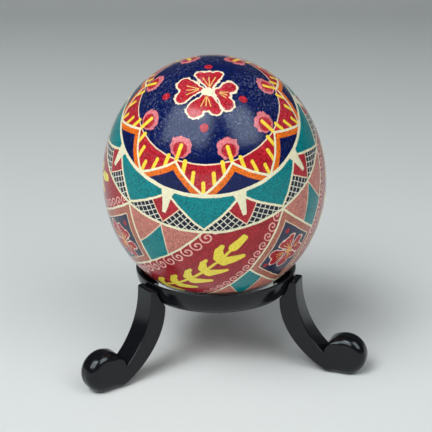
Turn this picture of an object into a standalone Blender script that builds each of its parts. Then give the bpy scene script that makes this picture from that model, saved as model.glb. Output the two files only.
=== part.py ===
"""Pysanka (wax-resist decorated egg) on a three-legged scroll stand.

Five separate pieces: the blown eggshell, the stand's ring and its three plug-in legs.
Units are metres, +Z is up, and the three feet stand on Z = 0.  The origin is the
centre of the whole object's footprint; the ring's own axis is at STAND_X, STAND_Y.
"""

from math import acos, asin, atan2, cos, pi, radians, sin, sqrt

import bmesh
import bpy
from mathutils import Matrix, Vector

# ---------------------------------------------------------------- driving dimensions

STAND_X = 0.0
STAND_Y = -0.00234
CLEARANCE = 0.0003          # gap between pieces that touch

EGG_WIDTH = 0.044           # largest diameter
EGG_LENGTH = 0.0555         # pole to pole
EGG_TAPER = 0.0225          # how much slimmer the upper end is than the lower end
SHELL_WALL = 0.0004
BLOW_HOLE_RADIUS = 0.0015   # at the lower pole, hidden inside the ring
EGG_TILT = radians(38.3)    # the long axis leans this far from vertical
EGG_LEAN = radians(257.3)   # direction in plan that the upper end leans towards
EGG_OFFSET = 0.00407        # egg centre from the ring's axis, along the lean
EGG_HEIGHT = 0.03892        # egg centre above the floor

RING_TOP = 0.01955
RING_BOTTOM = 0.01500
RIM_RADIUS = 0.0166         # outside of the rim
RIM_WIDTH = 0.0003          # flat on top of the rim
RING_FOOT_RADIUS = 0.0149   # outside of the ring at its lower edge
RING_BULGE = 0.00045        # how far the outer wall swells out of its straight chord
SEAT_RADIUS = 0.0154        # inner edge that the egg rests in
SEAT_DROP = 0.0008          # depth of the seat's chamfer below the rim
RING_INNER_RADIUS = 0.0120  # inside of the ring at its lower edge

LEG_ANGLES = {"leg_back": radians(90), "leg_left": radians(210), "leg_right": radians(330)}
LEG_WIDTH = 0.0049
LEG_TOP = 0.0188
LEG_OUTER_X = 0.0181        # the hollow outer face where it stands upright ...
LEG_UPRIGHT_Z = 0.0184      # ... and how high that is
LEG_OUTER_CURVE = 0.0186    # radius of the hollow outer face
LEG_INNER_X = 0.0147        # inner face of the leg under the ring
LEG_HIP = 0.0085            # how far the inner face keeps its direction below the ring
LEG_HEEL = 0.0040           # how far the underside keeps its direction from the floor
SCROLL_X = 0.0285           # scroll centre from the stand's axis
SCROLL_RADIUS = 0.0042
FOOT_FLAT = 0.0016          # flat under each scroll, measured along the leg
LEG_EDGE = 0.0003           # rounding of the leg's corners and side edges
SCROLL_EDGE = 0.0019        # rounding of the scroll's two rims
EDGE_GROWS_FROM = 0.0243    # distance out where the rounding starts to grow ...
EDGE_GROWS_TO = 0.0272      # ... and where it is full

TONGUE_WIDTH = 0.0024
TONGUE_DEPTH = 0.0007       # how far the tongue enters the ring's wall
TONGUE_TOP = 0.0176
TONGUE_OUTER_X = 0.0177     # the tongue's far end, inside the leg
SOCKET_BELOW = 0.0010       # how far the socket's cutter reaches below the ring

EGG_STEPS = 64              # faces round each turned piece
RING_STEPS = 72
EDGE_STEPS = 4              # faces across a rounded edge
SMOOTH_BELOW = radians(35)  # faces meeting at less than this are shaded as one surface
SHARP_CORNER = radians(140)  # an inside angle below this is a corner, not part of a curve

SHELL_COLOUR = (0.34, 0.05, 0.06)
SHELL_ROUGHNESS = 0.30
PLASTIC_COLOUR = (0.012, 0.012, 0.013)
PLASTIC_ROUGHNESS = 0.22


# ---------------------------------------------------------------- scene helpers

def clear_scene():
    for obj in list(bpy.data.objects):
        bpy.data.objects.remove(obj, do_unlink=True)


def new_collection(name):
    made = bpy.data.collections.new(name)
    bpy.context.scene.collection.children.link(made)
    return made


def make_material(name, colour, roughness):
    material = bpy.data.materials.new(name)
    material.use_nodes = True
    shader = material.node_tree.nodes["Principled BSDF"]
    shader.inputs["Base Color"].default_value = (*colour, 1.0)
    shader.inputs["Roughness"].default_value = roughness
    shader.inputs["Metallic"].default_value = 0.0
    return material


def dyed_shell():
    return make_material("dyed_eggshell", SHELL_COLOUR, SHELL_ROUGHNESS)


def black_plastic(piece):
    return make_material(piece + "_plastic", PLASTIC_COLOUR, PLASTIC_ROUGHNESS)


def add_object(name, mesh, collection, material=None):
    obj = bpy.data.objects.new(name, mesh)
    collection.objects.link(obj)
    if material is not None:
        mesh.materials.append(material)
    return obj


def smooth(mesh):
    mesh.shade_smooth()
    mesh.set_sharp_from_angle(angle=SMOOTH_BELOW)


def profile_mesh(name, profile):
    """A chain of edges in the XZ plane, ready for a Screw modifier about Z."""
    mesh = bpy.data.meshes.new(name)
    verts = [(x, 0.0, z) for x, z in profile]
    edges = [(i, i + 1) for i in range(len(verts) - 1)]
    mesh.from_pydata(verts, edges, [])
    return mesh


def spin(obj, steps):
    """Turn a profile into a full revolution about Z."""
    screw = obj.modifiers.new("turned", "SCREW")
    screw.axis = "Z"
    screw.steps = steps
    screw.render_steps = steps
    screw.use_merge_vertices = True
    screw.merge_threshold = 0.00001
    screw.use_smooth_shade = True


def box_cutter(name, size, centre, frame, collection):
    """A plain block that cuts or joins another piece and never shows itself."""
    mesh = bpy.data.meshes.new(name)
    bm = bmesh.new()
    bmesh.ops.create_cube(bm, size=1.0, matrix=Matrix.Diagonal((*size, 1.0)))
    bm.to_mesh(mesh)
    bm.free()
    obj = add_object(name, mesh, collection)
    obj.matrix_world = frame @ Matrix.Translation(centre)
    obj.hide_render = True
    obj.display_type = "WIRE"
    return obj


def boolean(obj, tool, operation):
    modifier = obj.modifiers.new(tool.name, "BOOLEAN")
    modifier.operation = operation
    modifier.solver = "EXACT"
    modifier.object = tool


# ---------------------------------------------------------------- egg

def egg_profile(inset, hole, count):
    """Points down one side of the egg, from the upper pole to the blow hole's edge."""
    half_length = EGG_LENGTH / 2 - inset
    half_width = EGG_WIDTH / 2 - inset
    last = pi - asin(hole / half_width)
    points = []
    for i in range(count + 1):
        angle = last * i / count
        x = half_width * sin(angle) * (1 - EGG_TAPER * cos(angle))
        points.append((x, half_length * cos(angle)))
    return points


def build_egg(collection, material):
    outside = egg_profile(0.0, BLOW_HOLE_RADIUS, count=36)
    inside = egg_profile(SHELL_WALL, BLOW_HOLE_RADIUS, count=24)
    mesh = profile_mesh("egg_shell", outside + inside[::-1])
    obj = add_object("egg_shell", mesh, collection, material)
    spin(obj, EGG_STEPS)
    reach = Vector((cos(EGG_LEAN), sin(EGG_LEAN), 0.0)) * EGG_OFFSET
    obj.location = Vector((STAND_X, STAND_Y, EGG_HEIGHT)) + reach
    obj.rotation_euler = (0.0, EGG_TILT, EGG_LEAN)


# ---------------------------------------------------------------- ring

def ring_wall_radius(z):
    """Outside radius of the ring at height z: a straight chord plus a shallow swell."""
    share = (z - RING_BOTTOM) / (RING_TOP - RING_BOTTOM)
    chord = RING_FOOT_RADIUS + (RIM_RADIUS - RING_FOOT_RADIUS) * share
    return chord + RING_BULGE * 4 * share * (1 - share)


def ring_profile():
    levels = 8
    heights = [RING_TOP + (RING_BOTTOM - RING_TOP) * i / levels for i in range(levels + 1)]
    outside = [(ring_wall_radius(z), z) for z in heights]
    rim = (RIM_RADIUS - RIM_WIDTH, RING_TOP)
    inside = [(RING_INNER_RADIUS, RING_BOTTOM), (SEAT_RADIUS, RING_TOP - SEAT_DROP)]
    return [rim] + outside + inside + [rim]


def build_ring(collection, cutters, material):
    mesh = profile_mesh("support_ring", ring_profile())
    obj = add_object("support_ring", mesh, collection, material)
    spin(obj, RING_STEPS)
    obj.location = (STAND_X, STAND_Y, 0.0)
    for name, angle in LEG_ANGLES.items():
        block = tongue_block(CLEARANCE, RING_BOTTOM - SOCKET_BELOW)
        socket = box_cutter("socket_" + name, *block, stand_matrix(angle), cutters)
        boolean(obj, socket, "DIFFERENCE")


def stand_matrix(angle):
    """Places something drawn with +X as 'outward' at one leg of the stand."""
    return Matrix.Translation((STAND_X, STAND_Y, 0.0)) @ Matrix.Rotation(angle, 4, "Z")


def tongue_block(gap, bottom):
    """Size and centre of a leg's tongue grown by gap on its sides, top and inner end."""
    inner = ring_wall_radius(TONGUE_TOP) - TONGUE_DEPTH - gap
    top = TONGUE_TOP + gap
    size = (TONGUE_OUTER_X - inner, TONGUE_WIDTH + 2 * gap, top - bottom)
    centre = ((TONGUE_OUTER_X + inner) / 2, 0.0, (top + bottom) / 2)
    return size, centre


# ---------------------------------------------------------------- legs

def arc(centre, radius, start, end, count):
    """Points along a circular arc in the leg's side view, both ends included."""
    angles = [start + (end - start) * i / count for i in range(count + 1)]
    return [centre + Vector((cos(a), sin(a))) * radius for a in angles]


def bezier(p0, p1, p2, p3, count):
    """Points along a cubic curve, without its first."""
    points = []
    for i in range(1, count + 1):
        t = i / count
        s = 1 - t
        points.append(p0 * s ** 3 + p1 * 3 * s * s * t + p2 * 3 * s * t * t + p3 * t ** 3)
    return points


def leg_outline():
    """The leg's side view, outward along X: hollow outer face, scroll, bowed inner face."""
    scroll = Vector((SCROLL_X, sqrt(SCROLL_RADIUS ** 2 - (FOOT_FLAT / 2) ** 2)))
    hollow = Vector((LEG_OUTER_X + LEG_OUTER_CURVE, LEG_UPRIGHT_Z))
    between = scroll - hollow
    reach = between.length
    cosine = (LEG_OUTER_CURVE ** 2 + reach ** 2 - SCROLL_RADIUS ** 2) / (2 * LEG_OUTER_CURVE * reach)
    notch = atan2(between.y, between.x) + 2 * pi - acos(cosine)
    upright = pi - asin((LEG_TOP - LEG_UPRIGHT_Z) / LEG_OUTER_CURVE)
    points = arc(hollow, LEG_OUTER_CURVE, upright, notch, count=14)

    corner = points[-1] - scroll
    toe = -acos(FOOT_FLAT / 2 / SCROLL_RADIUS)
    points += arc(scroll, SCROLL_RADIUS, atan2(corner.y, corner.x), toe, count=28)[1:]

    heel = Vector((SCROLL_X - FOOT_FLAT / 2, 0.0))
    shoulder = Vector((LEG_INNER_X, RING_BOTTOM - CLEARANCE))
    along_floor = heel - Vector((LEG_HEEL, 0.0))
    below_ring = shoulder - Vector((0.0, LEG_HIP))
    points += [heel] + bezier(heel, along_floor, below_ring, shoulder, count=16)

    wall_steps = 6
    for i in range(wall_steps + 1):
        z = shoulder.y + (LEG_TOP - shoulder.y) * i / wall_steps
        points.append(Vector((ring_wall_radius(max(z, RING_BOTTOM)) + CLEARANCE, z)))
    return points


def round_corners(outline, size):
    """A closed clockwise outline with each outward corner replaced by a short curve."""
    rounded = []
    for i, corner in enumerate(outline):
        before = outline[i - 1] - corner
        after = outline[(i + 1) % len(outline)] - corner
        if before.angle(after) > SHARP_CORNER or before.cross(after) < 0:
            rounded.append(corner)
            continue
        start = corner + before.normalized() * size
        end = corner + after.normalized() * size
        for share in (0.0, 0.5, 1.0):
            rounded.append(start.lerp(corner, share).lerp(corner.lerp(end, share), share))
    return rounded


def edge_rounding(x):
    """Radius that the leg's side edges are rounded by at distance x out."""
    share = (x - EDGE_GROWS_FROM) / (EDGE_GROWS_TO - EDGE_GROWS_FROM)
    share = min(max(share, 0.0), 1.0)
    return LEG_EDGE + (SCROLL_EDGE - LEG_EDGE) * share * share * (3 - 2 * share)


def inward(outline, i):
    """The way into a clockwise outline at point i, longer at a corner so that edges stay parallel."""
    before = (outline[i] - outline[i - 1]).normalized()
    after = (outline[(i + 1) % len(outline)] - outline[i]).normalized()
    middle = (before + after).normalized()
    return Vector((middle.y, -middle.x)) / middle.dot(before)


def leg_sections(outline):
    """The outline drawn across the leg's width, shrinking towards both sides."""
    for side in (-1, 1):
        for step in range(EDGE_STEPS + 1):
            turn = pi / 2 * (EDGE_STEPS - step if side < 0 else step) / EDGE_STEPS
            section = []
            for i, point in enumerate(outline):
                radius = edge_rounding(point.x)
                inset = point + inward(outline, i) * radius * (1 - cos(turn))
                across = side * (LEG_WIDTH / 2 - radius * (1 - sin(turn)))
                section.append((inset.x, across, inset.y))
            yield section


def leg_mesh(name):
    """A loft through the leg's sections, since its side edges are rounded by a changing radius."""
    mesh = bpy.data.meshes.new(name)
    bm = bmesh.new()
    outline = round_corners(leg_outline(), LEG_EDGE)
    rows = [[bm.verts.new(point) for point in section] for section in leg_sections(outline)]
    for row, following in zip(rows, rows[1:]):
        for i in range(len(row)):
            bm.faces.new((row[i - 1], row[i], following[i], following[i - 1]))
    bm.faces.new(rows[0])
    bm.faces.new(rows[-1])
    bmesh.ops.recalc_face_normals(bm, faces=bm.faces)
    bm.to_mesh(mesh)
    bm.free()
    smooth(mesh)
    return mesh


def build_leg(name, angle, collection, cutters, material):
    obj = add_object(name, leg_mesh(name), collection, material)
    obj.matrix_world = stand_matrix(angle)
    block = tongue_block(0.0, RING_BOTTOM + CLEARANCE)
    tongue = box_cutter("tongue_" + name, *block, stand_matrix(angle), cutters)
    boolean(obj, tongue, "UNION")


# ---------------------------------------------------------------- assembly

def main():
    clear_scene()
    parts = new_collection("pysanka_egg_on_stand")
    cutters = new_collection("cutters")
    build_egg(parts, dyed_shell())
    build_ring(parts, cutters, black_plastic("ring"))
    for name, angle in LEG_ANGLES.items():
        build_leg(name, angle, parts, cutters, black_plastic(name))


main()
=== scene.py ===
"""Looks of the pysanka egg on its black scroll-footed stand.

The eggshell, ring and legs are fine meshes that stand for the CAD nodes.  The egg's
wax-resist pattern is drawn by shader nodes from distances on the shell, in millimetres:
a colatitude T in degrees from the upper pole and a longitude F in degrees from the side
that faces down and forward.  The pattern repeats eight times round each end, four times
round the middle, and its lower half is the upper half turned over.
"""

from math import acos, asin, atan2, cos, degrees, hypot, pi, radians, sin, sqrt, tan

import bmesh
import bpy
import numpy as np
from mathutils import Matrix, Vector, noise


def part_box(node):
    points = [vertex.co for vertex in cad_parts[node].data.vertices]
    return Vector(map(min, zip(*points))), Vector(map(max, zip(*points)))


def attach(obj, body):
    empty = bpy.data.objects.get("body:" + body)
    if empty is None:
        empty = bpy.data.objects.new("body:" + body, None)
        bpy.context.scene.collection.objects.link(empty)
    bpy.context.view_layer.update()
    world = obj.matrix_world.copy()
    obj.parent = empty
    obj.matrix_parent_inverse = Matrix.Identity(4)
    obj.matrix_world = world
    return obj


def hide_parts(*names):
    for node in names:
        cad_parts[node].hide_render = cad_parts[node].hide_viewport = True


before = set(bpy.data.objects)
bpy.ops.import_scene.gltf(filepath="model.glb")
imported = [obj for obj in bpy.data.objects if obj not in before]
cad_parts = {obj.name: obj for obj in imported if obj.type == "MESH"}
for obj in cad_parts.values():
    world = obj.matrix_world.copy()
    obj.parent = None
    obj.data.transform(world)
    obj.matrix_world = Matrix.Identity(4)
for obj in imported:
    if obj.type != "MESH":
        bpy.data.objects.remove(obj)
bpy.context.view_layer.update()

# ------------------------------------------------------------------ sizes, in metres

EGG_LENGTH = 0.0555
EGG_TAPER = 0.0225          # how much slimmer the upper end is than the lower
SHELL_WALL = 0.0004
BLOW_HOLE = 0.0015          # radius of the hole at the lower pole
EGG_AROUND = 256            # faces round the egg's finest mesh
EGG_ALONG = 150
INSIDE_ALONG = 36
EGG_UNEVEN = 0.00007        # how far its surface wanders from a true one ...
EGG_UNEVEN_SIZE = 0.012     # ... over about this distance

RING_TOP, RING_BOTTOM = (0.01955, 0.01500)
RIM_RADIUS = 0.0166
RING_FOOT_RADIUS = 0.0149
RING_BULGE = 0.00045
SEAT_RADIUS = 0.0154
SEAT_DROP = 0.0008
RING_INNER_RADIUS = 0.0120
RING_RIM = 0.00018          # rounding of the ring's top edge ...
RING_EDGE = 0.00022         # ... and of its lower edges
SEAT_EDGE = 0.00012         # how wide the seat's softened corner is, each way
RING_AROUND = 192
RING_ROWS = 24
RING_CREASE = radians(40)   # faces that meet at more than this are shaded apart

LEGS = {"leg_back": radians(90), "leg_left": radians(210), "leg_right": radians(330)}
LEG_WIDTH = 0.0049
LEG_TOP = 0.0188
LEG_OUTER_X = 0.0181        # the hollow outer face where it stands upright ...
LEG_UPRIGHT_Z = 0.0184      # ... and how high that is
LEG_OUTER_CURVE = 0.0186
LEG_INNER_X = 0.0147
LEG_HIP = 0.0085            # how far the inner face keeps its direction below the ring
LEG_HEEL = 0.0040           # how far the underside keeps its direction from the floor
LEG_SEAT = -0.00005         # gap between a leg and the ring: it is pushed home
SCROLL_X = 0.0285
SCROLL_RADIUS = 0.0042
FOOT_FLAT = 0.0016
LEG_EDGE = 0.00025          # rounding of the leg's side edges
LEG_CORNER = 0.00042        # how far back from a corner of the side view its rounding starts
SCROLL_EDGE = 0.0019        # rounding of the scroll's two rims
EDGE_GROWS_FROM = 0.0243    # distance out where the rounding starts to grow ...
EDGE_GROWS_TO = 0.0272      # ... and where it is full
EDGE_STEPS = 10             # faces across a rounded edge
WALL_ROWS = 8
LEG_CREASE = radians(32)    # faces that meet at more than this are shaded apart
SHARPEST_CURVE = radians(140)   # a bend tighter than this is a corner
FLAT_MARGIN = 0.00002       # width of the first strip of each flat side, which keeps it flat

# ------------------------------------------------------------------ small helpers


def linear(red, green, blue):
    """A colour given in sRGB 0-255, as the linear values that shaders use."""
    def channel(value):
        value /= 255
        return value / 12.92 if value <= 0.04045 else ((value + 0.055) / 1.055) ** 2.4
    return (channel(red), channel(green), channel(blue), 1.0)


def mesh_object(name, mesh):
    obj = bpy.data.objects.new(name, mesh)
    bpy.context.scene.collection.objects.link(obj)
    return obj


def lathe(name, profile, around, matrix=Matrix.Identity(4)):
    """A closed profile of (radius, height) points turned about Z, then placed by matrix.

    A point of radius 0 is a pole.  The profile runs down the outer side and back up.
    """
    mesh = bpy.data.meshes.new(name)
    bm = bmesh.new()
    rings = []
    for radius, height in profile:
        if radius == 0:
            rings.append([bm.verts.new((0, 0, height))])
            continue
        turn = [2 * pi * i / around for i in range(around)]
        rings.append([bm.verts.new((radius * cos(a), radius * sin(a), height)) for a in turn])
    closed = len(rings[0]) > 1
    pairs = list(zip(rings, rings[1:] + rings[:1])) if closed else list(zip(rings, rings[1:]))
    for upper, lower in pairs:
        for i in range(around):
            j = (i + 1) % around
            corners = [upper[i % len(upper)], lower[i % len(lower)],
                       lower[j % len(lower)], upper[j % len(upper)]]
            unique = list(dict.fromkeys(corners))
            if len(unique) > 2:
                bm.faces.new(unique)
    bm.transform(matrix)
    bm.to_mesh(mesh)
    bm.free()
    mesh.shade_smooth()
    return mesh


def arc(centre, radius, start, end, count):
    """Points on a circular arc from start to end, both in degrees, ends included."""
    angles = [radians(start + (end - start) * i / count) for i in range(count + 1)]
    return [(centre[0] + radius * cos(a), centre[1] + radius * sin(a)) for a in angles]


# ------------------------------------------------------------------ where the frame puts things

def egg_placement():
    """The egg's centre, half width and a matrix whose +Z is its long axis, from its CAD node."""
    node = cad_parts["egg_shell"]
    points = np.empty(len(node.data.vertices) * 3)
    node.data.vertices.foreach_get("co", points)
    points = points.reshape(-1, 3)
    spread = np.cov((points - points.mean(axis=0)).T)
    axis = np.linalg.eigh(spread)[1][:, 2]
    axis *= np.sign(axis[2])
    heights = points @ axis
    pole = points[np.argmax(heights)]
    centre = pole - axis * EGG_LENGTH / 2
    offsets = points - centre
    radii = np.linalg.norm(offsets - np.outer(offsets @ axis, axis), axis=1)
    tilt = acos(axis[2])
    lean = atan2(axis[1], axis[0])
    rotation = Matrix.Rotation(lean, 4, "Z") @ Matrix.Rotation(tilt, 4, "Y")
    return Vector(centre), float(radii.max()), rotation, (0.0, tilt, lean)


EGG_CENTRE, EGG_HALF_WIDTH, EGG_ROTATION, EGG_EULER = egg_placement()
RING_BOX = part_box("support_ring")
STAND_X = (RING_BOX[0][0] + RING_BOX[1][0]) / 2
STAND_Y = (RING_BOX[0][1] + RING_BOX[1][1]) / 2


def at_leg(angle):
    """Places something drawn with +X as 'outward' at one leg of the stand."""
    return Matrix.Translation((STAND_X, STAND_Y, 0.0)) @ Matrix.Rotation(angle, 4, "Z")


# ------------------------------------------------------------------ shader arithmetic

class Graph:
    """One material's node tree, with arithmetic on its sockets."""

    def __init__(self, name):
        self.material = bpy.data.materials.new(name)
        self.material.use_nodes = True
        self.tree = self.material.node_tree
        self.shader = self.tree.nodes["Principled BSDF"]

    def node(self, kind, **settings):
        made = self.tree.nodes.new(kind)
        for key, value in settings.items():
            setattr(made, key, value)
        return made

    def join(self, value, socket):
        if isinstance(value, Num):
            self.tree.links.new(value.socket, socket)
        elif isinstance(value, bpy.types.NodeSocket):
            self.tree.links.new(value, socket)
        else:
            socket.default_value = value

    def calc(self, operation, *values, clamp=False):
        made = self.node("ShaderNodeMath", operation=operation, use_clamp=clamp)
        for value, socket in zip(values, made.inputs):
            self.join(value, socket)
        return Num(self, made.outputs[0])

    def place(self, centre, euler, scale):
        """Position on a piece, turned into its own axes and divided by scale."""
        coords = self.node("ShaderNodeTexCoord")
        mapping = self.node("ShaderNodeMapping", vector_type="TEXTURE")
        self.join(coords.outputs["Object"], mapping.inputs["Vector"])
        mapping.inputs["Location"].default_value = centre
        mapping.inputs["Rotation"].default_value = euler
        mapping.inputs["Scale"].default_value = (scale, scale, scale)
        return mapping.outputs["Vector"]

    def noise(self, vector, scale, detail=2.0, roughness=0.5, colour=False):
        made = self.node("ShaderNodeTexNoise")
        self.join(vector, made.inputs["Vector"])
        made.inputs["Scale"].default_value = scale
        made.inputs["Detail"].default_value = detail
        made.inputs["Roughness"].default_value = roughness
        if colour:
            return made.outputs["Color"]
        return Num(self, made.outputs["Factor" if "Factor" in made.outputs else "Fac"])

    def shake(self, vector, scale, amount):
        """vector moved about by up to half of amount, the way a hand wavers."""
        shift = self.noise(vector, scale, detail=1.0, colour=True)
        moved = self.node("ShaderNodeVectorMath", operation="MULTIPLY_ADD")
        self.join(shift, moved.inputs[0])
        moved.inputs[1].default_value = (amount, amount, amount)
        recentred = self.node("ShaderNodeVectorMath", operation="SUBTRACT")
        self.join(vector, recentred.inputs[0])
        recentred.inputs[1].default_value = (amount / 2, amount / 2, amount / 2)
        self.join(recentred.outputs[0], moved.inputs[2])
        return moved.outputs[0]

    def split(self, vector):
        made = self.node("ShaderNodeSeparateXYZ")
        self.join(vector, made.inputs[0])
        return [Num(self, out) for out in made.outputs]

    def paint(self, under, over, mask):
        """over laid on under where mask is 1."""
        made = self.node("ShaderNodeMix", data_type="RGBA", clamp_factor=True)
        self.join(mask, made.inputs[0])
        self.join(under, made.inputs[6])
        self.join(over, made.inputs[7])
        return made.outputs[2]

    def depth(self, colour):
        """How deep a dye is: near 1 for the dark ones, near 0 for bare cream."""
        made = self.node("ShaderNodeSeparateColor")
        self.join(colour, made.inputs[0])
        return 1.0 - Num(self, made.outputs[1])

    def tint(self, colour, factor):
        """colour made lighter or darker by factor."""
        made = self.node("ShaderNodeMix", data_type="RGBA", blend_type="MULTIPLY")
        made.inputs[0].default_value = 1.0
        self.join(colour, made.inputs[6])
        grey = self.node("ShaderNodeCombineColor")
        for socket in grey.inputs[:3]:
            self.join(factor, socket)
        self.join(grey.outputs[0], made.inputs[7])
        return made.outputs[2]

    def bump(self, height, strength, distance):
        made = self.node("ShaderNodeBump")
        made.inputs["Strength"].default_value = strength
        made.inputs["Distance"].default_value = distance
        self.join(height, made.inputs["Height"])
        return made.outputs[0]


class Num:
    """A number on its way through the shader."""

    def __init__(self, graph, socket):
        self.graph = graph
        self.socket = socket

    def __add__(self, other):
        return self.graph.calc("ADD", self, other)

    def __sub__(self, other):
        return self.graph.calc("SUBTRACT", self, other)

    def __rsub__(self, other):
        return self.graph.calc("SUBTRACT", other, self)

    def __mul__(self, other):
        return self.graph.calc("MULTIPLY", self, other)

    def __truediv__(self, other):
        return self.graph.calc("DIVIDE", self, other)

    __radd__ = __add__
    __rmul__ = __mul__

    def __abs__(self):
        return self.graph.calc("ABSOLUTE", self)

    def line(self, slope, start):
        """slope times this, plus start."""
        return self.graph.calc("MULTIPLY_ADD", self, slope, start)

    def between(self, zero, one):
        """From zero to one as this goes from 0 to 1."""
        return (one - zero) * self + zero

    def wrap(self, low, high):
        return self.graph.calc("WRAP", self, high, low)

    def low(self, other):
        return self.graph.calc("MINIMUM", self, other)

    def high(self, other):
        return self.graph.calc("MAXIMUM", self, other)

    def sign(self):
        return self.graph.calc("SIGN", self)

    def inside(self, soft=0.07):
        """1 where this distance is negative, 0 where it is positive, soft between."""
        return self.graph.calc("MULTIPLY_ADD", self, -1 / soft, 0.5, clamp=True)

    def near(self, half_width, soft=0.07):
        """1 on a drawn line of that half width along this distance's zero."""
        return (abs(self) - half_width).inside(soft)


def length(x, y):
    graph = x.graph
    return graph.calc("SQRT", graph.calc("MULTIPLY_ADD", x, x, y * y))


def blade(x, y, start, end, start_radius, end_radius):
    """Distance to a stroke from start to end whose half width goes from one radius to the other."""
    graph = x.graph
    run, rise = (end[0] - start[0], end[1] - start[1])
    span = run * run + rise * rise
    along = graph.calc("MULTIPLY_ADD", x, run / span, y.line(rise / span, 0.0))
    along = graph.calc("ADD", along, -(start[0] * run + start[1] * rise) / span, clamp=True)
    off_x = x - along.line(run, start[0])
    off_y = y - along.line(rise, start[1])
    return length(off_x, off_y) - along.line(end_radius - start_radius, start_radius)


# ------------------------------------------------------------------ dyes

NAVY = linear(6, 20, 74)
TEAL = linear(0, 123, 127)
ORANGE = linear(224, 108, 26)
CREAM = linear(236, 230, 196)
CREAM_LINE = linear(236, 212, 182)
CRIMSON = linear(174, 32, 44)
TOOTH_CRIMSON = linear(170, 38, 50)
DULL_CRIMSON = linear(158, 38, 46)
ROSE = linear(194, 120, 107)
BLUSH = linear(212, 116, 122)
CURL_PINK = linear(238, 178, 166)
YELLOW = linear(246, 214, 66)
LEAF_YELLOW = linear(244, 222, 76)
NET_BLACK = linear(30, 30, 44)
NET_LINE = linear(220, 218, 204)
STAMEN = linear(246, 204, 116)
PETAL_LINE = linear(240, 206, 186)
AMBER = linear(226, 160, 84)
SQUARE_NAVY = linear(44, 47, 74)
FRAME_ROSE = linear(177, 107, 89)
# Pale blue specks on the cap: partly scuffs, partly painted glints standing in for the sparkle in the
# highlights.
SCUFF_AND_GLINT = linear(176, 186, 214)
SHELL_INSIDE = linear(232, 224, 206)
BLACK_PLASTIC = linear(13, 14, 18)

# ------------------------------------------------------------------ measures of the egg's pattern

# Places along T and F are in degrees, lengths on the shell in millimetres.
DEGREE = pi / 180
HALF_LENGTH = EGG_LENGTH / 2 * 1000
HALF_WIDTH = EGG_HALF_WIDTH * 1000
PATTERN_EQUATOR = 88.3      # T that the lower half is turned about ...
TURN_F = -4.2               # ... and F
EIGHTH = 45.0               # the pattern of each end repeats after this much F ...
QUARTER = 90.0              # ... and that of the middle band after this much

CAP_CIRCLE = 35.5           # T of the thin circle round the navy cap
STAR_CIRCLE = 48.6          # of the thick circle round the star
BAND_CIRCLE = 64.3          # of the thick circle along the middle band
BUD_CIRCLE = 30.2           # of the middles of the small flowers
BUD_RADIUS = 1.94
BUD_SCALLOPS = 9.0
SQUARE_F = 42.4             # F of the middle of one square
CAP_FLOWER = 14.3           # degrees that radius 1 of a flower measures on a cap ...
SQUARE_FLOWER = 3.9         # ... and millimetres on a square

STAR_RISE = 0.533           # degrees of T that a star edge climbs in a degree of F
ORANGE_WIDTH = 1.15         # band of orange inside the star's edge
STROKE_GAP = 7.5            # degrees of F between the yellow strokes
NET_MESH = (0.49, 0.50)     # half the distance between the net's lines, each way
NET_LINE_WIDTH = 0.082      # half width, like those below
FRAME_WIDTH = 1.5           # rose frame round a square
THIN_LINE = 0.10            # half widths of the wax lines
CAP_LINE = 0.12
THICK_LINE = 0.21
LEAF_SLANT = radians(42.0)  # between a leaf stem and the long axis
LEAF_REPEAT = 4.5           # length of stem from one pair of leaves to the next
LEAF_TOP, LEAF_BOTTOM = (-9.6, 12.6)
CURL_PITCH = 0.76           # how far a curl's line moves out in a turn

# A flower drawn at radius 1, x to the right and y down.
# Each petal: root, half width there, and its lobes as (x, y, radius).
PETALS = [
    ((0.09, -0.05), 0.07, [(-0.28, -0.66, 0.165), (0.01, -0.60, 0.220), (0.31, -0.72, 0.165)]),
    ((-0.22, 0.00), 0.07, [(-0.745, -0.27, 0.27), (-0.72, 0.03, 0.20), (-0.82, 0.27, 0.225)]),
    ((0.36, 0.10), 0.10, [(0.72, -0.16, 0.22), (0.52, 0.16, 0.22), (0.67, 0.52, 0.23)]),
    ((0.00, 0.27), 0.10, [(-0.345, 0.76, 0.29), (0.03, 0.64, 0.20), (0.31, 0.745, 0.20)]),
]
LOBE_BLEND = 0.10           # how softly the lobes of a petal run together
# The four dots round it: where each is on a cap, and on a square.
BLOSSOM_DOTS = [
    ((-0.04, -1.13), (0.12, -1.36)),
    ((-1.39, 0.10), (-1.29, 0.28)),
    ((1.18, 0.22), (1.32, 0.31)),
    ((-0.04, 1.38), (-0.21, 1.74)),
]
DOT_RADIUS = 0.135


class Shell:
    """Coordinates on the egg, and what a degree of each of them measures there.

    The hand wavers: raw is moved about a little before anything is drawn.
    """

    def __init__(self, graph, raw):
        steady = graph.shake(raw, 0.30, 0.34)
        x, y, z = graph.split(graph.shake(steady, 2.4, 0.13))
        height = z / HALF_LENGTH
        radius = length(x, y)
        full_radius = height.line(-EGG_TAPER * HALF_WIDTH, HALF_WIDTH)
        colat = graph.calc("ARCTAN2", radius / full_radius, height) / DEGREE
        self.longi = graph.calc("ARCTAN2", y, x) / DEGREE
        self.mm_f = radius * DEGREE
        bend = (HALF_LENGTH ** 2 - HALF_WIDTH ** 2) * DEGREE ** 2
        self.mm_t = graph.calc("SQRT", (height * height).line(-bend, (HALF_LENGTH * DEGREE) ** 2))

        # The lower half is the upper half turned about TURN_F.
        self.below = colat - PATTERN_EQUATOR
        self.t = PATTERN_EQUATOR - abs(self.below)
        self.f = (self.longi - TURN_F) * (self.below * -1.0).sign() + TURN_F
        self.axis8 = abs((self.f + 0.6).wrap(-EIGHTH / 2, EIGHTH / 2))      # from an outer star point
        self.gap8 = EIGHTH / 2 - self.axis8                                 # from a small flower

    def past(self, circle):
        """Distance outwards from a circle round the end."""
        return (self.t - circle) * self.mm_t


# ------------------------------------------------------------------ the big flowers

def nearest(distances):
    result = distances[0]
    for other in distances[1:]:
        result = result.low(other)
    return result


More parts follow.
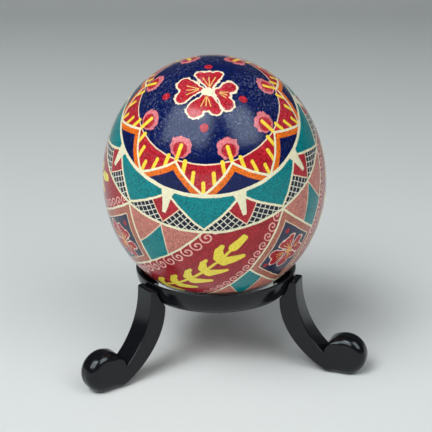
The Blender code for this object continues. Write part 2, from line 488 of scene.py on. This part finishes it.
def petal_shape(x, y, root, base, lobes):
    shapes = [blade(x, y, root, (lobe_x, lobe_y), base, radius) for lobe_x, lobe_y, radius in lobes]
    petal = shapes[0]
    for shape in shapes[1:]:
        petal = x.graph.calc("SMOOTH_MIN", petal, shape, LOBE_BLEND)
    return petal


def stamen_shape(x, y, root, lobes):
    """Three thin rays from a petal's root towards its lobes."""
    run = sum(lobe[0] for lobe in lobes) / len(lobes) - root[0]
    rise = sum(lobe[1] for lobe in lobes) / len(lobes) - root[1]
    reach = hypot(run, rise)
    cosine, sine = (run / reach, rise / reach)
    out = x.line(cosine, y.line(sine, -root[0] * cosine - root[1] * sine))
    side = abs(y.line(cosine, x.line(-sine, root[0] * sine - root[1] * cosine)))
    spread, half_width = (0.42, 0.015)
    ray = side.low(abs(side - out.line(spread, 0.0))).line(1.0, -half_width)
    return ray.high(0.05 - out).high(out - (0.62 * reach + 0.12))


def paint_flowers(graph, shell, colour, ragged, squares):
    """The flower with four dots on each cap, and the same one smaller where squares is 1."""
    in_cap = (shell.t - 30.0).inside(0.1)
    cap_x = shell.t * graph.calc("SINE", shell.f * DEGREE)
    cap_y = shell.t * graph.calc("COSINE", shell.f * DEGREE)
    square_x = (shell.longi - SQUARE_F).wrap(-QUARTER / 2, QUARTER / 2) * shell.mm_f
    square_y = shell.below * shell.mm_t
    x = in_cap.between(square_x.line(1 / SQUARE_FLOWER, 0.04), cap_x.line(1 / CAP_FLOWER, 0.0))
    y = in_cap.between(square_y.line(1 / SQUARE_FLOWER, 0.10), cap_y.line(1 / CAP_FLOWER, 0.0))

    swell = ragged.line(0.16, in_cap.line(-0.01, -0.05))
    petals = [petal_shape(x, y, root, base, lobes) - swell for root, base, lobes in PETALS]
    petal = nearest(petals).inside(0.02)
    outline = nearest([abs(shape) for shape in petals]) - ragged.line(0.06, -0.024)
    stamens = nearest([stamen_shape(x, y, root, lobes) for root, _, lobes in PETALS])
    heart = length((x - 0.05) * 0.80, y - 0.12) - ragged.line(0.30, 0.015)
    dots = []
    for cap_dot, square_dot in BLOSSOM_DOTS:
        dot_x = x - in_cap.line(cap_dot[0] - square_dot[0], square_dot[0])
        dot_y = y - in_cap.line(cap_dot[1] - square_dot[1], square_dot[1])
        dots.append(length(dot_x, dot_y) - DOT_RADIUS)

    zone = shell.past(24.0).inside().high(squares)
    colour = graph.paint(colour, CRIMSON, petal * zone)
    colour = graph.paint(colour, STAMEN, stamens.inside(0.03) * petal * zone)
    line_colour = graph.paint(PETAL_LINE, CREAM, in_cap * 0.6)
    colour = graph.paint(colour, line_colour, outline.near(0.025, 0.02) * zone)
    colour = graph.paint(colour, graph.paint(AMBER, CREAM, in_cap), heart.inside(0.03) * zone)
    return graph.paint(colour, CRIMSON, nearest(dots).inside(0.03) * zone)


# ------------------------------------------------------------------ the zones, from the pole outwards

def star_zone(graph, shell, ragged):
    """Navy cap with small flowers on its rim, in an eight-pointed star edged with orange."""
    gap = shell.gap8
    bud_x = gap * shell.mm_f
    bud_y = shell.past(BUD_CIRCLE)
    scallop = graph.calc("COSINE", graph.calc("ARCTAN2", bud_x, bud_y) * BUD_SCALLOPS)
    bud = length(bud_x, bud_y) - scallop.line(0.06, BUD_RADIUS) - ragged.line(1.0, -0.5)
    bud_core = length(bud_x, bud_y - 0.30) - 1.30

    star = gap.line(-STAR_RISE, shell.t - 36.3) * shell.mm_t * 0.73
    step = graph.calc("SNAP", gap + STROKE_GAP / 2, STROKE_GAP)
    root = step.line(STAR_RISE, 35.7)
    longer = (step - 1.0).inside(0.1) * 1.9
    tip = root - 4.6 - longer
    over = (tip - shell.t).high(shell.t - root).high(0.0) * shell.mm_t
    stroke = length((gap - step) * shell.mm_f, over) - 0.33

    colour = graph.paint(NAVY, BLUSH, bud.inside())
    colour = graph.paint(colour, CRIMSON, bud_core.inside(0.15))
    cap_edge = shell.past(CAP_CIRCLE)
    outside = (cap_edge * -1.0).inside()
    colour = graph.paint(colour, CRIMSON, outside)
    colour = graph.paint(colour, ORANGE, (star * -1.0).inside())
    colour = graph.paint(colour, NAVY, (ORANGE_WIDTH - star).inside() * outside)
    colour = graph.paint(colour, CREAM_LINE, cap_edge.near(CAP_LINE))
    colour = graph.paint(colour, YELLOW, stroke.inside())
    return graph.paint(colour, CREAM, star.near(THICK_LINE) * outside)


def net_zone(graph, shell):
    """Teal points, with a cream tooth, crimson and a net between them."""
    point = shell.axis8.line(0.591, shell.t - 63.3) * shell.mm_t * 0.76
    wedge = shell.gap8.line(0.9125, shell.t - 63.3) * shell.mm_t * 0.607
    flare = (shell.t - 52.0).low(0.0).line(-0.075, 0.0)
    tooth_side = shell.gap8 * shell.mm_f - (58.3 - shell.t).line(0.074, 0.36) - flare
    tooth = tooth_side.high(shell.past(58.9))
    net = abs(point.wrap(-NET_MESH[0], NET_MESH[0]))
    net = net.low(abs(wedge.wrap(-NET_MESH[1], NET_MESH[1]))) - NET_LINE_WIDTH

    between = (point * -1.0).inside()
    colour = graph.paint(TEAL, TOOTH_CRIMSON, between)
    netting = graph.paint(NET_BLACK, NET_LINE, net.inside())
    colour = graph.paint(colour, netting, (wedge * -1.0).inside() * between)
    colour = graph.paint(colour, CREAM_LINE, wedge.near(THIN_LINE) * between)
    colour = graph.paint(colour, CREAM, tooth.inside())
    return graph.paint(colour, CREAM, point.near(0.22))


def band_axes(shell):
    """Distances across and along a leaf stem, in the straight axes of its slanting band."""
    drop = shell.below * shell.mm_t
    centre_f = (drop * -tan(LEAF_SLANT)) / shell.mm_f + TURN_F
    off = (shell.longi - centre_f).wrap(-QUARTER / 2, QUARTER / 2) * shell.mm_f
    return off * cos(LEAF_SLANT), drop / cos(LEAF_SLANT) - off * sin(LEAF_SLANT)


def leaf_shape(x, y):
    """A stem with a bud at its top, and pairs of leaves: a long one and a mitten."""
    cell = (y + 1.6).wrap(1.0 - LEAF_REPEAT, 1.0)
    top_pair = (y + 5.1).inside(0.1)
    right_leaf = blade(x, cell, (0.9, -0.2), (3.0, -2.9), 1.05, 0.38)
    left_leaf = blade(x, cell, (-0.6, -0.35), (-1.75, -1.7), 0.92, 0.62)
    left_leaf = left_leaf.low(blade(x, cell, (-1.75, -1.7), (-1.95, -2.75), 0.55, 0.36))
    leaves = right_leaf.low(left_leaf) - top_pair * 0.15
    leaves = leaves.high(LEAF_TOP - y).high(y - LEAF_BOTTOM)
    stem = (abs(x) - 0.3).high(-10.2 - y).high(y - LEAF_BOTTOM)
    bud_leaf = blade(x, y, (0.0, -10.0), (0.25, -12.4), 0.98, 0.74).high(-12.95 - y)
    return leaves.low(stem).low(bud_leaf)


def curl_shape(graph, band, x, y):
    """Spirals along both edges of the leaf band, larger along its left edge."""
    size = x.sign().line(-0.16, 1.04)
    curl_x = band / size * -1.0 - 1.15
    curl_y = ((y + 8.6) / size).wrap(-1.08, 1.08)
    turned = graph.calc("ARCTAN2", curl_y, curl_x) / (2 * pi)
    turns = length(curl_x, curl_y) / CURL_PITCH - turned - 1.0
    return abs(turns.wrap(-0.5, 0.5)).line(CURL_PITCH, -0.14).high(turns - 0.3)


def middle_zone(graph, shell):
    """The middle band and 1 inside its navy squares.

    Slanting leaf bands alternate with squares, with rose and teal kites at their corners.
    """
    down = shell.t - 64.5
    across = (shell.f - down.line(-1.0735, 21.25)).wrap(-QUARTER / 2, QUARTER / 2)
    band = (abs(across) - down.line(0.0905, 22.75)) * shell.mm_f * 0.77
    around = across.wrap(0.0, QUARTER)
    square_edge = down.line(-1.78, around - 22.75) * shell.mm_f * 0.884
    frame_in = band.low(square_edge * -1.0)
    pink_right = down.line(1.41, 44.8 - around) * shell.mm_f * 0.95
    pink_left = down.line(-0.256, around - 45.3) * shell.mm_f * 0.77
    leaf_x, leaf_y = band_axes(shell)
    leaf = leaf_shape(leaf_x, leaf_y)
    curls = curl_shape(graph, band, leaf_x, leaf_y)

    colour = graph.paint(TEAL, ROSE, pink_right.low(pink_left).inside())
    kite_lines = pink_right.near(THIN_LINE).high(pink_left.near(THIN_LINE))
    colour = graph.paint(colour, CREAM_LINE, kite_lines)
    in_square = square_edge.inside()
    colour = graph.paint(colour, FRAME_ROSE, in_square)
    colour = graph.paint(colour, SQUARE_NAVY, (FRAME_WIDTH - frame_in).inside() * in_square)
    colour = graph.paint(colour, CREAM_LINE, (frame_in - FRAME_WIDTH).near(THIN_LINE) * in_square)
    colour = graph.paint(colour, CREAM, square_edge.near(0.2))
    in_band = band.inside()
    colour = graph.paint(colour, DULL_CRIMSON, in_band)
    colour = graph.paint(colour, CURL_PINK, curls.inside() * in_band)
    colour = graph.paint(colour, LEAF_YELLOW, leaf.inside() * in_band)
    colour = graph.paint(colour, CREAM, band.near(0.2))
    return colour, (FRAME_WIDTH + 0.2 - frame_in).inside() * in_square


def wear_and_glints(graph, shell, raw, colour, speck):
    """Dye that is most uneven where it is deep, and pale specks in patches on the cap, partly scuffs
    and partly painted glints of the highlights.
    """
    blotch = graph.noise(raw, 0.55, 3.0)
    patchy = blotch.line(0.60, 0.34) + speck.line(2.80, -1.03)
    colour = graph.tint(colour, graph.depth(colour).between(1.0, patchy))
    # Pale specks and threads: partly scuffs, partly painted glints standing in for sparkle in the
    # varnish's highlights.
    scuff_and_glint = graph.noise(raw, 2.3, 2.0, 0.7).line(5.0, -2.75)
    thread = (abs(graph.noise(raw, 0.8, 2.0) - 0.5) - 0.008).inside(0.02)
    # They come in patches, and only on the cap.
    scuff_glint_patches = graph.calc("MULTIPLY_ADD", graph.noise(raw, 0.14, 2.0), 3.2, -1.2, clamp=True)
    scuff_glint_patches = scuff_glint_patches * (shell.t - 44.0).inside(8.0)
    return graph.paint(colour, SCUFF_AND_GLINT, scuff_and_glint.high(thread * 0.45) * scuff_glint_patches * 0.52)


# ------------------------------------------------------------------ materials

def egg_material():
    """Wax-resist dyes under a satin varnish, over the shell's own grain."""
    graph = Graph("wax_resist_egg")
    raw = graph.place(EGG_CENTRE, EGG_EULER, 0.001)
    shell = Shell(graph, raw)
    ragged = graph.noise(raw, 0.9, 2.0, 0.6)
    colour = star_zone(graph, shell, ragged)
    colour = graph.paint(colour, net_zone(graph, shell), (shell.past(STAR_CIRCLE) * -1.0).inside())
    in_middle = (shell.past(BAND_CIRCLE) * -1.0).inside()
    middle, squares = middle_zone(graph, shell)
    colour = graph.paint(colour, middle, in_middle)
    colour = paint_flowers(graph, shell, colour, ragged, squares * in_middle)
    circles = shell.past(STAR_CIRCLE).near(0.34).high(shell.past(BAND_CIRCLE).near(0.26))
    colour = graph.paint(colour, CREAM, circles)

    speck = graph.noise(raw, 3.0, 3.0, 0.6)
    colour = wear_and_glints(graph, shell, raw, colour, speck)
    graph.join(colour, graph.shader.inputs["Base Color"])
    graph.join(speck.line(0.13, 0.02), graph.shader.inputs["Roughness"])
    graph.shader.inputs["Specular IOR Level"].default_value = 0.26
    grain = graph.noise(raw, 1.9, 3.0, 0.6)
    pores = graph.noise(raw, 7.0, 2.0, 0.6)
    normal = graph.bump(grain.line(1.0, pores * 0.5), 0.40, 0.00006)
    graph.join(normal, graph.shader.inputs["Normal"])
    return graph.material


def shell_inside_material():
    graph = Graph("bare_shell_inside")
    raw = graph.place(EGG_CENTRE, EGG_EULER, 0.001)
    mottle = graph.noise(raw, 0.8, 4.0)
    graph.join(graph.tint(SHELL_INSIDE, mottle.line(0.3, 0.8)), graph.shader.inputs["Base Color"])
    graph.join(mottle.line(0.2, 0.5), graph.shader.inputs["Roughness"])
    normal = graph.bump(graph.noise(raw, 5.0, 3.0), 0.3, 0.00005)
    graph.join(normal, graph.shader.inputs["Normal"])
    return graph.material


def plastic_material():
    """Black moulded styrene: glossy, a little uneven from the mould, finely rubbed."""
    graph = Graph("black_moulded_plastic")
    raw = graph.place((0.0, 0.0, 0.0), (0.0, 0.0, 0.0), 0.001)
    flow = graph.noise(raw, 0.18, 3.0)
    rub = graph.noise(raw, 2.2, 5.0, 0.65)
    shade = flow.line(0.35, 0.70) + rub.line(0.30, 0.0)
    graph.join(graph.tint(BLACK_PLASTIC, shade), graph.shader.inputs["Base Color"])
    graph.join(flow.line(0.08, 0.06) + rub.line(0.14, 0.0), graph.shader.inputs["Roughness"])
    graph.shader.inputs["Specular IOR Level"].default_value = 0.33
    sink = graph.noise(raw, 0.35, 2.0)
    normal = graph.bump(sink.line(1.0, rub * 0.04), 0.25, 0.0001)
    graph.join(normal, graph.shader.inputs["Normal"])
    return graph.material


# ------------------------------------------------------------------ the egg

def shell_radius(angle, half_width):
    return half_width * sin(angle) * (1 - EGG_TAPER * cos(angle))


def egg_mesh():
    """The blown shell: outer skin down to the blow hole, a rounded lip, inner skin back up."""
    last = pi - BLOW_HOLE / EGG_HALF_WIDTH
    outer, inner = ([(0, EGG_LENGTH / 2)], [])
    for i in range(1, EGG_ALONG + 1):
        angle = last * i / EGG_ALONG
        outer.append((shell_radius(angle, EGG_HALF_WIDTH), EGG_LENGTH / 2 * cos(angle)))
    for i in range(INSIDE_ALONG + 1):
        angle = last * (1 - i / INSIDE_ALONG)
        radius = shell_radius(angle, EGG_HALF_WIDTH - SHELL_WALL)
        inner.append((radius, (EGG_LENGTH / 2 - SHELL_WALL) * cos(angle)))
    inner[-1] = (0, EGG_LENGTH / 2 - SHELL_WALL)
    return lathe("pysanka_shell", outer + inner, EGG_AROUND)


def make_uneven(mesh):
    """No shell is perfectly round: move its points in and out a little."""
    for vert in mesh.vertices:
        wander = noise.noise(vert.co / EGG_UNEVEN_SIZE) * EGG_UNEVEN
        vert.co += vert.co.normalized() * wander


def build_egg():
    mesh = egg_mesh()
    make_uneven(mesh)
    mesh.transform(Matrix.Translation(EGG_CENTRE) @ EGG_ROTATION)
    shell = mesh_object("pysanka_shell", mesh)
    mesh.materials.append(egg_material())
    mesh.materials.append(shell_inside_material())
    outer_faces = EGG_AROUND * EGG_ALONG
    for face in mesh.polygons:
        face.material_index = 1 if face.index >= outer_faces else 0
    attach(shell, "egg")
    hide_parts("egg_shell")


# ------------------------------------------------------------------ the stand

def ring_wall_radius(z):
    share = (z - RING_BOTTOM) / (RING_TOP - RING_BOTTOM)
    chord = RING_FOOT_RADIUS + (RIM_RADIUS - RING_FOOT_RADIUS) * share
    return chord + RING_BULGE * 4 * share * (1 - share)


def ring_profile():
    """The ring's section from its rim down the bowed outer wall and back up to the seat."""
    profile = arc((RIM_RADIUS - RING_RIM, RING_TOP - RING_RIM), RING_RIM, 110, 0, 6)
    first_row = RING_TOP - RING_RIM * 1.5
    last_row = RING_BOTTOM + RING_EDGE * 1.3
    for i in range(1, RING_ROWS):
        z = first_row + (last_row - first_row) * i / RING_ROWS
        profile.append((ring_wall_radius(z), z))
    edge_z = RING_BOTTOM + RING_EDGE
    profile += arc((RING_FOOT_RADIUS - RING_EDGE, edge_z), RING_EDGE, 0, -90, 5)
    profile += arc((RING_INNER_RADIUS + RING_EDGE, edge_z), RING_EDGE, -90, -180, 5)
    seat_z = RING_TOP - SEAT_DROP
    profile.append((SEAT_RADIUS - SEAT_EDGE, seat_z - 0.0003))
    profile.append((SEAT_RADIUS, seat_z))
    profile.append((SEAT_RADIUS + SEAT_EDGE, seat_z + 0.0001))
    return profile


def build_ring(plastic):
    placed = Matrix.Translation((STAND_X, STAND_Y, 0))
    mesh = lathe("stand_ring", ring_profile(), RING_AROUND, placed)
    mesh.set_sharp_from_angle(angle=RING_CREASE)
    mesh.materials.append(plastic)
    ring = mesh_object("stand_ring", mesh)
    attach(ring, "stand")
    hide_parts("support_ring")


def curve(centre, radius, start, end, count):
    """Points on a circular arc in the leg's side view, its angles in radians, ends included."""
    return [Vector(point) for point in arc(centre, radius, degrees(start), degrees(end), count)]


def bezier(p0, p1, p2, p3, count):
    """Points along a cubic curve, without its first."""
    points = []
    for i in range(1, count + 1):
        t = i / count
        s = 1 - t
        points.append(p0 * s ** 3 + p1 * 3 * s * s * t + p2 * 3 * s * t * t + p3 * t ** 3)
    return points


def leg_outline():
    """The leg's side view, outward along X: hollow outer face, scroll, bowed inner face."""
    scroll = Vector((SCROLL_X, sqrt(SCROLL_RADIUS ** 2 - (FOOT_FLAT / 2) ** 2)))
    hollow = Vector((LEG_OUTER_X + LEG_OUTER_CURVE, LEG_UPRIGHT_Z))
    between = scroll - hollow
    reach = between.length
    cosine = (LEG_OUTER_CURVE ** 2 + reach ** 2 - SCROLL_RADIUS ** 2) / (2 * LEG_OUTER_CURVE * reach)
    notch = atan2(between.y, between.x) + 2 * pi - acos(cosine)
    upright = pi - asin((LEG_TOP - LEG_UPRIGHT_Z) / LEG_OUTER_CURVE)
    points = curve(hollow, LEG_OUTER_CURVE, upright, notch, count=36)

    corner = points[-1] - scroll
    toe = -acos(FOOT_FLAT / 2 / SCROLL_RADIUS)
    points += curve(scroll, SCROLL_RADIUS, atan2(corner.y, corner.x), toe, count=56)[1:]

    heel = Vector((SCROLL_X - FOOT_FLAT / 2, 0.0))
    shoulder = Vector((LEG_INNER_X, RING_BOTTOM - LEG_EDGE))
    along_floor = heel - Vector((LEG_HEEL, 0.0))
    below_ring = shoulder - Vector((0.0, LEG_HIP))
    points += [heel] + bezier(heel, along_floor, below_ring, shoulder, count=48)

    for i in range(WALL_ROWS + 1):
        z = RING_BOTTOM + (LEG_TOP - RING_BOTTOM) * i / WALL_ROWS
        points.append(Vector((ring_wall_radius(z) + LEG_SEAT, z)))
    return points


def round_corners(outline, size):
    """A closed clockwise outline with each outward corner replaced by a short curve."""
    rounded = []
    for i, corner in enumerate(outline):
        before = outline[i - 1] - corner
        after = outline[(i + 1) % len(outline)] - corner
        if before.angle(after) > SHARPEST_CURVE or before.cross(after) < 0:
            rounded.append(corner)
            continue
        start = corner + before.normalized() * size
        end = corner + after.normalized() * size
        for share in (0.0, 0.25, 0.5, 0.75, 1.0):
            rounded.append(start.lerp(corner, share).lerp(corner.lerp(end, share), share))
    return rounded


def edge_rounding(x):
    """Radius that the leg's side edges are rounded by at distance x out."""
    share = (x - EDGE_GROWS_FROM) / (EDGE_GROWS_TO - EDGE_GROWS_FROM)
    share = min(max(share, 0.0), 1.0)
    return LEG_EDGE + (SCROLL_EDGE - LEG_EDGE) * share * share * (3 - 2 * share)


def inward(outline, i):
    """The way into a clockwise outline at point i, longer at a corner so that edges stay parallel."""
    before = (outline[i] - outline[i - 1]).normalized()
    after = (outline[(i + 1) % len(outline)] - outline[i]).normalized()
    middle = (before + after).normalized()
    return Vector((middle.y, -middle.x)) / middle.dot(before)


def leg_section(outline, turn, side, further=0.0):
    """The outline where the rounded edge has turned this far from the leg's rim to its flat side."""
    section = []
    for i, point in enumerate(outline):
        radius = edge_rounding(point.x)
        inset = point + inward(outline, i) * (radius * (1 - cos(turn)) + further)
        section.append((inset.x, side * (LEG_WIDTH / 2 - radius * (1 - sin(turn))), inset.y))
    return section


def leg_mesh(name):
    """A loft across the leg's width, since its side edges are rounded by a changing radius."""
    outline = round_corners(leg_outline(), LEG_CORNER)
    turns = [pi / 2 * step / EDGE_STEPS for step in range(EDGE_STEPS + 1)]
    half = [leg_section(outline, turn, 1) for turn in turns]
    half.append(leg_section(outline, pi / 2, 1, further=FLAT_MARGIN))
    other = [[(x, -y, z) for x, y, z in section] for section in half[::-1]]
    mesh = bpy.data.meshes.new(name)
    bm = bmesh.new()
    rows = [[bm.verts.new(point) for point in section] for section in other + half]
    for row, following in zip(rows, rows[1:]):
        for i in range(len(row)):
            bm.faces.new((row[i - 1], row[i], following[i], following[i - 1]))
    bm.faces.new(rows[0])
    bm.faces.new(rows[-1])
    bmesh.ops.recalc_face_normals(bm, faces=bm.faces)
    bm.to_mesh(mesh)
    bm.free()
    return mesh


def build_leg(name, angle, plastic):
    mesh = leg_mesh("stand_" + name)
    mesh.transform(at_leg(angle))
    mesh.shade_smooth()
    mesh.set_sharp_from_angle(angle=LEG_CREASE)
    mesh.materials.append(plastic)
    leg = mesh_object("stand_" + name, mesh)
    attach(leg, "stand")
    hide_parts(name)


# ------------------------------------------------------------------ studio

CAMERA_FROM_STAND = Vector((-0.02835, -0.18656, 0.09504))
CAMERA_TURN = radians(8.647)      # to the left of straight ahead
CAMERA_PITCH = radians(19.02)
CAMERA_LENS = 81.2
SKY = (0.80, 0.94, 1.0)
PAPER = (0.985, 1.0, 1.0)
SWEEP_GREY = linear(222, 226, 226)
TENT_GREY = linear(226, 232, 236)
SWEEP_CURVE = 0.45          # radius that the sweep curves up with, behind the egg ...
SWEEP_BACK = 0.55           # ... starting this far back


def build_camera():
    data = bpy.data.cameras.new("camera")
    data.sensor_width = 36.0
    data.lens = CAMERA_LENS
    data.clip_start = 0.01
    data.clip_end = 20.0
    camera = bpy.data.objects.new("camera", data)
    camera.location = Vector((STAND_X, STAND_Y, 0.0)) + CAMERA_FROM_STAND
    camera.rotation_euler = (pi / 2 - CAMERA_PITCH, 0.0, -CAMERA_TURN)
    bpy.context.scene.collection.objects.link(camera)
    bpy.context.scene.camera = camera


def soft_box(name, azimuth, elevation, distance, size, radiance, colour, shines=True, fills=True):
    """A rectangular area light that faces the egg; azimuth is from the front, + to the right.

    shines says whether it is mirrored in glossy surfaces, fills whether it lights matt ones.
    """
    azimuth, elevation = (radians(azimuth), radians(elevation))
    data = bpy.data.lights.new(name, "AREA")
    data.shape = "RECTANGLE"
    data.size, data.size_y = size
    data.energy = radiance * pi * size[0] * size[1]
    data.color = colour
    light = bpy.data.objects.new(name, data)
    aim = Vector((sin(azimuth) * cos(elevation), -cos(azimuth) * cos(elevation), sin(elevation)))
    light.location = EGG_CENTRE + aim * distance
    light.rotation_euler = aim.to_track_quat("Z", "Y").to_euler()
    light.visible_glossy = shines
    light.visible_diffuse = fills
    bpy.context.scene.collection.objects.link(light)


def build_studio():
    """A pale sweep that curves up behind the egg, soft boxes, and a dim tent round it all.

    Each window's glossy reflection and its light on matt surfaces come from boxes of their own.
    """
    sweep = [(-2.0, 0.0), (SWEEP_BACK, 0.0)]
    sweep += arc((SWEEP_BACK, SWEEP_CURVE), SWEEP_CURVE, -90, -35, 16)
    mesh = bpy.data.meshes.new("sweep")
    bm = bmesh.new()
    rows = [[bm.verts.new((side, y, z)) for y, z in sweep] for side in (-2.5, 2.5)]
    for i in range(len(sweep) - 1):
        bm.faces.new((rows[0][i], rows[1][i], rows[1][i + 1], rows[0][i + 1]))
    bm.to_mesh(mesh)
    bm.free()
    mesh.shade_smooth()
    floor = mesh_object("studio_sweep", mesh)
    floor.rotation_euler = (0.0, 0.0, -CAMERA_TURN)
    graph = Graph("sweep_paper")
    raw = graph.place((0.0, 0.0, 0.0), (0.0, 0.0, 0.0), 1.0)
    fibre = graph.noise(raw, 900.0, 3.0)
    graph.join(graph.tint(SWEEP_GREY, fibre.line(0.04, 0.98)), graph.shader.inputs["Base Color"])
    graph.shader.inputs["Roughness"].default_value = 0.75
    mesh.materials.append(graph.material)

    world = bpy.data.worlds.new("tent")
    bpy.context.scene.world = world
    world.use_nodes = True
    tent = world.node_tree.nodes["Background"]
    tent.inputs["Color"].default_value = TENT_GREY
    tent.inputs["Strength"].default_value = 0.10
    soft_box("window_left_shine", -45, 41, 0.9, (0.90, 0.62), 5.6, SKY, fills=False)
    soft_box("lamp_left_shine", -36, 54, 0.9, (0.30, 0.12), 10.0, PAPER, fills=False)
    soft_box("window_right_shine", 39, 40, 0.9, (0.50, 0.60), 5.8, SKY, fills=False)
    soft_box("window_right_fill", 34, 40, 0.9, (0.62, 0.60), 2.1, PAPER, shines=False)
    soft_box("upper_left_fill", -60, 55, 0.9, (0.36, 0.36), 6.6, PAPER, shines=False)
    soft_box("lower_left_fill", -40, 45, 0.9, (0.40, 0.40), 8.6, PAPER, shines=False)
    soft_box("near_fill", 0, 60, 0.27, (0.20, 0.20), 0.95, PAPER, shines=False)
    bpy.context.scene.view_settings.view_transform = "Standard"


# ------------------------------------------------------------------ assembly

build_camera()
build_egg()
PLASTIC = plastic_material()
build_ring(PLASTIC)
for leg_name, leg_angle in LEGS.items():
    build_leg(leg_name, leg_angle, PLASTIC)
build_studio()
